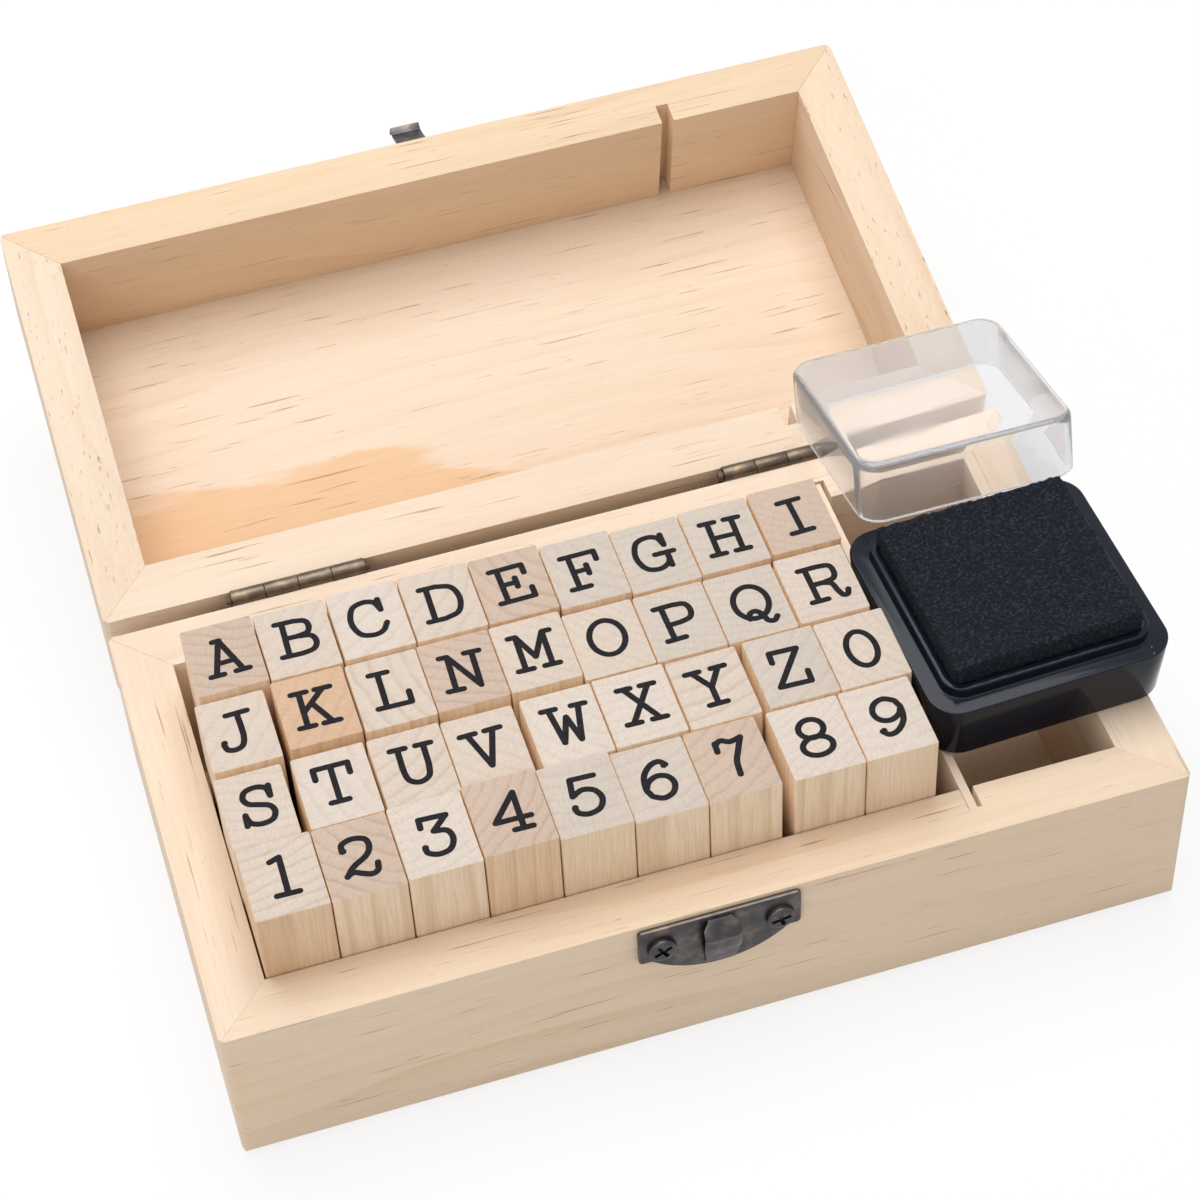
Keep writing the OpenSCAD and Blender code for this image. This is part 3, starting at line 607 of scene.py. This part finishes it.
def smooth_line(points, steps=7):
    """A smooth line through every point, in steps from each to the next."""
    ends = [points[0] * 2 - points[1]] + points + [points[-1] * 2 - points[-2]]
    line = []
    for a, b, c, d in zip(ends, ends[1:], ends[2:], ends[3:]):
        for step in range(steps):
            t = step / steps
            line.append(0.5 * (2 * b + (c - a) * t + (2 * a - 5 * b + 4 * c - d) * t * t
                               + (3 * b - 3 * c + d - a) * t * t * t))
    return line + [points[-1]]


def smooth_step(value, start, end):
    """0 at start and before, 1 at end and beyond, with an easy curve between."""
    t = min(max((value - start) / (end - start), 0), 1)
    return t * t * (3 - 2 * t)


def read_strokes(text):
    """A character's strokes: the line of points, whether it is closed, and for a dot its width
    on the grid."""
    strokes = []
    for part in text.split("/"):
        kind = part[0] if part[0] in "cod" else "s"
        numbers = [n.split(",") for n in part.lstrip("cod").split()]
        points = [Vector((float(n[0]), float(n[-1]))) for n in numbers]
        if kind == "c":
            strokes.append((smooth_line(points), False, None))
        elif kind == "d":
            # A dot is a stroke too short to see, with wide round ends
            centre, radius = points[0], float(numbers[1][0])
            nudge = Vector((0.01, 0))
            strokes.append(([centre - nudge, centre + nudge], False, radius * 2))
        elif kind == "o":
            centre, radii = points
            ring = [centre + Vector((radii.x * math.cos(a), radii.y * math.sin(a)))
                    for a in (math.tau * i / OVAL_FACETS for i in range(OVAL_FACETS))]
            strokes.append((ring, True, None))
        else:
            for first, last in zip(points, points[1:]):
                strokes.append(([first, last], False, None))
    return strokes


def ribbon(shape, line, closed, half, height):
    """Adds a flat stroke to a mesh, with round ends unless it is closed."""
    count = len(line)
    left, right = [], []
    for i, point in enumerate(line):
        before = line[i - 1] if closed or i else point
        after = line[(i + 1) % count] if closed or i < count - 1 else point
        side = (after - before).normalized()
        side = Vector((-side.y, side.x)) * half
        left.append(shape.verts.new((*(point + side), height)))
        right.append(shape.verts.new((*(point - side), height)))
    for i in range(count if closed else count - 1):
        j = (i + 1) % count
        shape.faces.new((right[i], right[j], left[j], left[i]))
    if closed:
        return
    for end, first, last in ((line[0], left[0], right[0]), (line[-1], right[-1], left[-1])):
        start = math.atan2(*reversed(first.co.xy - end))
        arc = [shape.verts.new((end.x + half * math.cos(start + a),
                                end.y + half * math.sin(start + a), height))
               for a in (math.pi * k / END_FACETS for k in range(1, END_FACETS))]
        shape.faces.new([first] + arc + [last])


def printed_character(letter, stamps, low, high, material):
    """One character laid flat on its stamp's top as strokes of ink 0.02 mm thick."""
    chance = random.Random("print " + letter)
    shape = bmesh.new()
    unit = stamps.height / GRID
    # Each stroke lies a hair above the one before, so that crossing strokes don't share a plane
    step = 0.0006 * MM
    for level, (line, closed, dot) in enumerate(read_strokes(CHARACTERS[letter])):
        centred = [(p - Vector((GRID / 2, GRID / 2))) * unit for p in line]
        half = unit * dot / 2 if dot else stamps.stroke / 2
        ribbon(shape, centred, closed, half, step * level)
    mesh = bpy.data.meshes.new("print_" + letter)
    shape.to_mesh(mesh)
    shape.free()
    piece = link("print_" + letter, mesh)
    apply_modifier(piece, "SOLIDIFY", thickness=0.02 * MM, offset=1.0)
    middle = (low + high) / 2
    # Printed by hand: each is a little turned and off centre, and 0.012 mm above the wood
    turn = Matrix.Rotation(math.radians(chance.uniform(-3.5, 2.0)), 4, "Z")
    place = Matrix.Translation((middle.x + chance.uniform(-0.35, 0.35) * MM,
                                middle.y + chance.uniform(-0.3, 0.4) * MM,
                                high.z + 0.012 * MM))
    mesh.transform(place @ turn)
    dress(piece, material)
    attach(piece, "stamp_" + letter)


class STAMPBOX_OT_timber(bpy.types.Operator):
    """Sand the pine walls, panels and divider"""

    bl_idname = "stampbox.timber"
    bl_label = "Timber"

    def execute(self, context):
        timber = context.scene.stampbox_timber
        # Node, body, way of the grain, seed, tilt of the growth rings, browner tone (partly painted
        # shade), heart
        walls = (
            ("base_front_wall", "box", "X", 1, 52, 0.25, None),
            ("base_back_wall", "box", "X", 9, 40, 0.0, None),
            ("base_left_wall", "box", "Y", 5, 35, 0.0, None),
            ("base_right_wall", "box", "Y", 12, 48, 0.1, None),
            ("lid_front_wall", "lid", "X", 3, 62, 0.55, None),
            ("lid_back_wall", "lid", "X", 7, 30, 0.0, None),
            ("lid_left_wall", "lid", "Y", 15, 44, 0.0, None),
            ("lid_right_wall", "lid", "Y", 21, 58, 0.25, None),
        )
        boards = (
            ("base_floor", "box", "X", 2, 84, 0.2, None),
            ("divider", "box", "Y", 11, 20, 0.0, None),
            ("lid_panel", "lid", "X", 6, 86, 0.0, (-54, 61, 70, 23)),
        )
        for kind, slot, nodes in (("pine", "pine", walls), ("board", "pine_board", boards)):
            for node, body, along, seed, tilt, warmth_and_shade, heart in nodes:
                name = "sanded " + kind + ", " + node.replace("_", " ")
                wood = sanded_pine(name, timber, along, seed, tilt, warmth_and_shade, heart)
                eased(node, "sanded_" + node, body, timber.ease, wood)
        return {"FINISHED"}


class STAMPBOX_OT_stamps(bpy.types.Operator):
    """Cut the stamps' sticks and print their characters"""

    bl_idname = "stampbox.stamps"
    bl_label = "Stamps"

    def execute(self, context):
        stamps = context.scene.stampbox_stamps
        ink = printing_ink(stamps)
        for letter in STAMPS:
            node = "stamp_" + letter
            low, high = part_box(node)
            wood = sawn_stick(letter, stamps, low, high)
            eased(node, "stick_" + letter, node, stamps.ease, wood)
            printed_character(letter, stamps, low, high, ink)
        return {"FINISHED"}


class STAMPBOX_OT_fittings(bpy.types.Operator):
    """Plate the hinges, screws and clasp"""

    bl_idname = "stampbox.fittings"
    bl_label = "Fittings"

    def execute(self, context):
        fittings = context.scene.stampbox_fittings
        slate = antique_bronze("antiqued bronze plating, slate", tuple(fittings.bronze))
        brown = antique_bronze("antiqued bronze plating, brown", tuple(fittings.hinge))
        dress(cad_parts["hinge_pins"], brown)
        dress(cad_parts["hasp_pin"], slate)
        for node, body, metal in (
                ("hinge_base_leaves", "box", brown), ("hinge_lid_leaves", "lid", brown),
                ("lid_screws", "lid", slate), ("hasp_plate", "lid", slate),
                ("hasp_flap", "flap", slate), ("base_screws", "box", slate)):
            piece = eased(node, "tumbled_" + node, body, fittings.ease, metal)
            if node == "base_screws":
                self.drop_front_screws(piece)
        self.plate(fittings, slate)
        self.tongue(slate)
        for side in (-1, 1):
            self.pan_head(side, fittings, slate)
        return {"FINISHED"}

    def drop_front_screws(self, piece):
        """Takes the clasp's two screws out of the copy, since pan heads stand for them."""
        pick(piece, "vertices", lambda point: point.co.y < 0)
        bpy.ops.mesh.delete(type="VERT")
        bpy.ops.object.mode_set(mode="OBJECT")

    def finish(self, piece, metal):
        """Smooths, plates and places a piece of the clasp's lower half."""
        only(piece)
        bpy.ops.object.shade_smooth_by_angle(angle=SMOOTH_ANGLE)
        dress(piece, metal)
        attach(piece, "box")

    def plate(self, fittings, metal):
        """The clasp's lower plate: a straight top, square ears for the screws and a round
        belly, its corners nipped off."""
        low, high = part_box("catch_plate")
        half, drop = (high.x - low.x) / 2, high.z - low.z
        # Height of the ears, half of the belly's width, and what is nipped off a corner
        ear, belly_half, nip = drop * 0.63, half - 2 * MM, 0.45 * MM
        rise = drop - ear
        radius = (belly_half ** 2 + rise ** 2) / (2 * rise)
        reach = math.asin(belly_half / radius)
        outline = [(-half + nip, 0), (half - nip, 0), (half, -nip), (half, -ear + nip),
                   (half - nip, -ear)]
        # The belly is an arc of 32 short lines
        outline += [(radius * math.sin(a), radius - drop - radius * math.cos(a))
                    for a in (reach * (1 - i / 16) for i in range(33))]
        outline += [(-half + nip, -ear), (-half, -ear + nip), (-half, -nip)]
        curve = bpy.data.curves.new("clasp_plate", "CURVE")
        curve.dimensions = "2D"
        curve.fill_mode = "BOTH"
        curve.extrude = PLATE_THICK / 2 - fittings.ease
        curve.bevel_depth = fittings.ease
        curve.bevel_resolution = 2
        curve.offset = -fittings.ease
        spline = curve.splines.new("POLY")
        spline.points.add(len(outline) - 1)
        spline.use_cyclic_u = True
        for point, (x, y) in zip(spline.points, outline):
            point.co = (x, y, 0, 1)
        only(link("clasp_plate", curve))
        bpy.ops.object.convert(target="MESH")
        piece = bpy.context.active_object
        piece.data.transform(Matrix.Translation((0, high.y - PLATE_THICK / 2, high.z))
                             @ Matrix.Rotation(math.pi / 2, 4, "X"))
        self.finish(piece, metal)
        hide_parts("catch_plate")

    def tongue(self, metal):
        """The hump pressed out of the plate's middle, which the flap springs over."""
        wall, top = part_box("catch_plate")[1].yz
        # Side view in millimetres: out from the wall, and down from the plate's top
        side = smooth_line([Vector(p) for p in (
            (0.7, -0.9), (1.3, -1.2), (2.2, -2.0), (2.95, -2.9), (3.1, -3.5), (2.95, -4.2),
            (2.7, -6.1), (2.1, -8.2), (1.5, -10.3), (1.0, -11.4))], 3)
        deselect_all()
        bpy.ops.mesh.primitive_grid_add(x_subdivisions=8, y_subdivisions=len(side) - 1, size=2)
        piece = bpy.context.active_object
        piece.name = "clasp_tongue"
        for point in piece.data.vertices:
            out, down = side[round((point.co.y + 1) / 2 * (len(side) - 1))]
            # Half of its width: rounded in at the top and tapered to the bottom
            half = 3.0 - 0.45 * smooth_step(down, -6.4, -10.5) - 1.1 * smooth_step(down, -2.1, -0.8)
            # The hump rounds off towards its two sides
            crown = 1 - 0.1 * point.co.x ** 4
            point.co = (point.co.x * half * MM, wall - out * crown * MM, top + down * MM)
        apply_modifier(piece, "SOLIDIFY", thickness=0.6 * MM, offset=1.0)
        apply_modifier(piece, "BEVEL", width=0.12 * MM, segments=2, limit_method="ANGLE",
                       angle_limit=math.radians(50))
        only(piece)
        bpy.ops.object.mode_set(mode="EDIT")
        bpy.ops.mesh.select_all(action="SELECT")
        bpy.ops.mesh.normals_make_consistent(inside=False)
        bpy.ops.object.mode_set(mode="OBJECT")
        self.finish(piece, metal)

    def pan_head(self, side, fittings, metal):
        """A round screw head with a cross cut in it, on one of the clasp plate's ears."""
        wall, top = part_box("catch_plate")[1].yz
        tall, dome = 1.0 * MM, 0.45 * MM
        # One bar of the cross: its length and width, and twice its depth
        bar = (3.1 * MM, 0.66 * MM, 1.3 * MM, 1)
        # Middle of the head in millimetres from the plate's middle and top, and the cross's turn
        across, down = side * 9.4 + 0.1, 4.6
        turn = math.radians(28 if side < 0 else 12)
        deselect_all()
        bpy.ops.mesh.primitive_cylinder_add(vertices=40, radius=fittings.head, depth=tall)
        head = bpy.context.active_object
        head.name = "clasp_screw_" + ("left" if side < 0 else "right")
        pick(head, "edges",
             lambda edge: all(head.data.vertices[v].co.z > 0 for v in edge.vertices))
        bpy.ops.mesh.bevel(offset=dome, segments=4, affect="EDGES")
        bpy.ops.object.mode_set(mode="OBJECT")
        for quarter in (0, 1):
            deselect_all()
            bpy.ops.mesh.primitive_cube_add(size=1)
            cutter = bpy.context.active_object
            cutter.data.transform(Matrix.Rotation(quarter * math.pi / 2, 4, "Z")
                                  @ Matrix.Translation((0, 0, tall / 2))
                                  @ Matrix.Diagonal(bar))
            apply_modifier(head, "BOOLEAN", operation="DIFFERENCE", object=cutter, solver="EXACT")
            bpy.data.objects.remove(cutter)
        head.data.transform(
            Matrix.Translation((across * MM, wall - PLATE_THICK - tall * 0.4, top - down * MM))
            @ Matrix.Rotation(math.pi / 2, 4, "X") @ Matrix.Rotation(turn, 4, "Z"))
        self.finish(head, metal)


class STAMPBOX_OT_ink_pad(bpy.types.Operator):
    """Mould the ink pad's tray and fill it with foam"""

    bl_idname = "stampbox.ink_pad"
    bl_label = "Ink Pad"

    def execute(self, context):
        pad = context.scene.stampbox_pad
        eased("ink_tray", "moulded_tray", "ink_pad", pad.round_edge, moulded_black(pad),
              3, 40)
        self.foam(pad)
        return {"FINISHED"}

    def foam_turn(self, mesh):
        """How far the ink pad is turned about Z: the way that the largest upright face looks."""
        side = max((face for face in mesh.polygons if abs(face.normal.z) < 0.1),
                   key=lambda face: face.area)
        turn = math.atan2(side.normal.y, side.normal.x)
        return (turn + math.pi / 4) % (math.pi / 2) - math.pi / 4

    def foam(self, pad):
        """A block of foam: rough top and sides, edges torn soft by the cutting."""
        low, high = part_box("ink_foam")
        cut_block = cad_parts["ink_foam"].data
        turn = self.foam_turn(cut_block)
        across = Vector((math.cos(turn), math.sin(turn), 0))
        reach = [point.co.dot(across) for point in cut_block.vertices]
        width = max(reach) - min(reach)
        tall = high.z - low.z + pad.proud
        middle = (low + high) / 2 + Vector((0, 0, pad.proud / 2))
        deselect_all()
        bpy.ops.mesh.primitive_cube_add(size=1)
        block = bpy.context.active_object
        block.name = "inked_foam"
        block.data.transform(Matrix.Diagonal((width, width, tall, 1)))
        bpy.ops.object.mode_set(mode="EDIT")
        bpy.ops.mesh.select_all(action="SELECT")
        bpy.ops.mesh.bevel(offset=0.45 * MM, segments=2, affect="EDGES")
        bpy.ops.mesh.select_all(action="SELECT")
        bpy.ops.mesh.subdivide(number_cuts=1)
        bpy.ops.object.mode_set(mode="OBJECT")
        apply_modifier(block, "REMESH", mode="VOXEL", voxel_size=0.3 * MM)
        # Waves of the torn skin: how many to the millimetre, and how high in millimetres
        waves = ((0.3, 0.12), (1.1, 0.16), (2.3, 0.14))
        half = width / MM / 2
        for point in block.data.vertices:
            place = point.co / MM
            torn = sum(noise.noise(place * often) * much for often, much in waves)
            # Sides move outwards only near their faces, and the top moves up
            out = Vector((place.x / half, place.y / half, 0))
            out = Vector((out.x ** 5, out.y ** 5, 1.0 if place.z > 0 else 0.0))
            point.co += out * torn * MM
        block.data.transform(Matrix.Translation(middle) @ Matrix.Rotation(turn, 4, "Z"))
        only(block)
        bpy.ops.object.shade_smooth()
        dress(block, inked_foam(pad))
        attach(block, "ink_pad")
        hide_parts("ink_foam")


class STAMPBOX_OT_cover(bpy.types.Operator):
    """Mould the clear cover"""

    bl_idname = "stampbox.cover"
    bl_label = "Clear Cover"

    def execute(self, context):
        pad = context.scene.stampbox_pad
        piece = copy_of_node("ink_cover", "clear_cover")
        mesh = piece.data
        # The cover's top is its largest flat face, and its normal shows how it leans
        top = max(mesh.polygons, key=lambda face: face.area)
        up = top.normal.copy()
        reach = max(mesh.vertices[v].co.dot(up) for v in top.vertices)
        pick(piece, "edges", lambda edge: min(
            piece.data.vertices[v].co.dot(up) for v in edge.vertices) > reach - 0.01 * MM)
        bpy.ops.mesh.bevel(offset=pad.cover_round, segments=6, affect="EDGES", clamp_overlap=True)
        bpy.ops.object.mode_set(mode="OBJECT")
        bpy.ops.object.shade_smooth_by_angle(angle=SMOOTH_ANGLE)
        dress(piece, clear_polystyrene())
        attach(piece, "cover")
        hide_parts("ink_cover")
        return {"FINISHED"}


def area_lamp(name, power, size, place, target):
    """A square lamp that faces a point."""
    lamp = bpy.data.lights.new(name, "AREA")
    lamp.energy = power
    lamp.size = size
    holder = link(name, lamp)
    holder.location = place
    holder.rotation_euler = (Vector(target) - Vector(place)).to_track_quat("-Z", "Y").to_euler()


def seen_directly(tree):
    """1 for rays from the camera, off a mirror or through clear plastic, and 0 for room light."""
    path = add(tree, "ShaderNodeLightPath").outputs
    return math_node(tree, "MAXIMUM", path["Is Camera Ray"], math_node(
        tree, "MAXIMUM", path["Is Glossy Ray"], path["Is Transmission Ray"]))


class STAMPBOX_OT_stage(bpy.types.Operator):
    """Set the floor, the lamps and the camera"""

    bl_idname = "stampbox.stage"
    bl_label = "Stage"

    def execute(self, context):
        stage = context.scene.stampbox_stage
        self.floor()
        self.room(context.scene, stage)
        # Each lamp's power, size and place, and the middle of the open box, which it faces
        middle = (0.0, 0.03, 0.03)
        area_lamp("overhead", stage.key, 0.8, (-0.02, 0.22, 0.9), middle)
        area_lamp("front", stage.fill, 0.5, (-0.45, -0.6, 0.5), middle)
        self.camera(context.scene)
        context.scene.view_settings.view_transform = "Standard"
        return {"FINISHED"}

    def floor(self):
        """White paper just under the box, which glows a little so that it looks white."""
        deselect_all()
        bpy.ops.mesh.primitive_plane_add(size=6, location=(0, 0, 0))
        floor = bpy.context.active_object
        floor.name = "floor"
        floor.data.transform(Matrix.Translation((0, 0, -0.05 * MM)))
        material, tree, shader = new_material("white paper sweep")
        shader.inputs["Base Color"].default_value = linear("#f2f2f2")
        shader.inputs["Roughness"].default_value = 0.9
        shader.inputs["Specular IOR Level"].default_value = 0.1
        glow = add(tree, "ShaderNodeEmission", None, {"Color": grey(1.0), "Strength": 1.0})
        share = math_node(tree, "MULTIPLY", seen_directly(tree), 0.82)
        mix_surfaces(tree, share, shader.outputs["BSDF"], glow.outputs["Emission"])
        dress(floor, material)

    def room(self, scene, stage):
        """A white room that looks fully white but lights the box more dimly."""
        world = bpy.data.worlds.new("white room")
        scene.world = world
        world.use_nodes = True
        tree = world.node_tree
        background = tree.nodes["Background"]
        background.inputs["Color"].default_value = grey(1.0)
        tree.links.new(remap(tree, seen_directly(tree), 0.0, 1.0, stage.sky, 1.0),
                       background.inputs["Strength"])

    def camera(self, scene):
        """The photograph's own view, found from the straight edges of the box and the lid."""
        camera = bpy.data.cameras.new("camera")
        camera.sensor_width = 36
        camera.sensor_fit = "HORIZONTAL"
        camera.lens = 98.14
        camera.clip_start = 0.01
        eye = link("camera", camera)
        right = Vector((0.95500614, -0.29396913, -0.0393119))
        down = Vector((-0.24658286, -0.71333758, -0.65600792))
        forward = Vector((0.16480342, 0.63618523, -0.75372951))
        turn = Matrix((right, -down, -forward)).transposed().to_4x4()
        eye.matrix_world = Matrix.Translation((-0.08642, -0.31505, 0.4319)) @ turn
        scene.camera = eye


class STAMPBOX_PT_panel(bpy.types.Panel):
    """Settings and steps of the stamp box"""

    bl_label = "Stamp Box"
    bl_idname = "STAMPBOX_PT_panel"
    bl_space_type = "VIEW_3D"
    bl_region_type = "UI"
    bl_category = "Stamp Box"

    def draw(self, context):
        for title, group in GROUPS.items():
            box = self.layout.box()
            box.label(text=title.title())
            settings = getattr(context.scene, "stampbox_" + title)
            for key in group.__annotations__:
                box.prop(settings, key)
        for step in STEPS:
            self.layout.operator(step.bl_idname)


GROUPS = {"timber": TimberSettings, "stamps": StampSettings, "fittings": FittingSettings,
          "pad": PadSettings, "stage": StageSettings}
STEPS = (STAMPBOX_OT_timber, STAMPBOX_OT_stamps, STAMPBOX_OT_fittings, STAMPBOX_OT_ink_pad,
         STAMPBOX_OT_cover, STAMPBOX_OT_stage)


def register():
    for group in GROUPS.values():
        bpy.utils.register_class(group)
    for title, group in GROUPS.items():
        setattr(bpy.types.Scene, "stampbox_" + title, PointerProperty(type=group))
    for step in STEPS:
        bpy.utils.register_class(step)
    bpy.utils.register_class(STAMPBOX_PT_panel)


def unregister():
    bpy.utils.unregister_class(STAMPBOX_PT_panel)
    for step in reversed(STEPS):
        bpy.utils.unregister_class(step)
    for title, group in GROUPS.items():
        delattr(bpy.types.Scene, "stampbox_" + title)
        bpy.utils.unregister_class(group)


def main():
    register()
    bpy.ops.stampbox.timber()
    bpy.ops.stampbox.stamps()
    bpy.ops.stampbox.fittings()
    bpy.ops.stampbox.ink_pad()
    bpy.ops.stampbox.cover()
    bpy.ops.stampbox.stage()


if __name__ == "__main__":
    main()
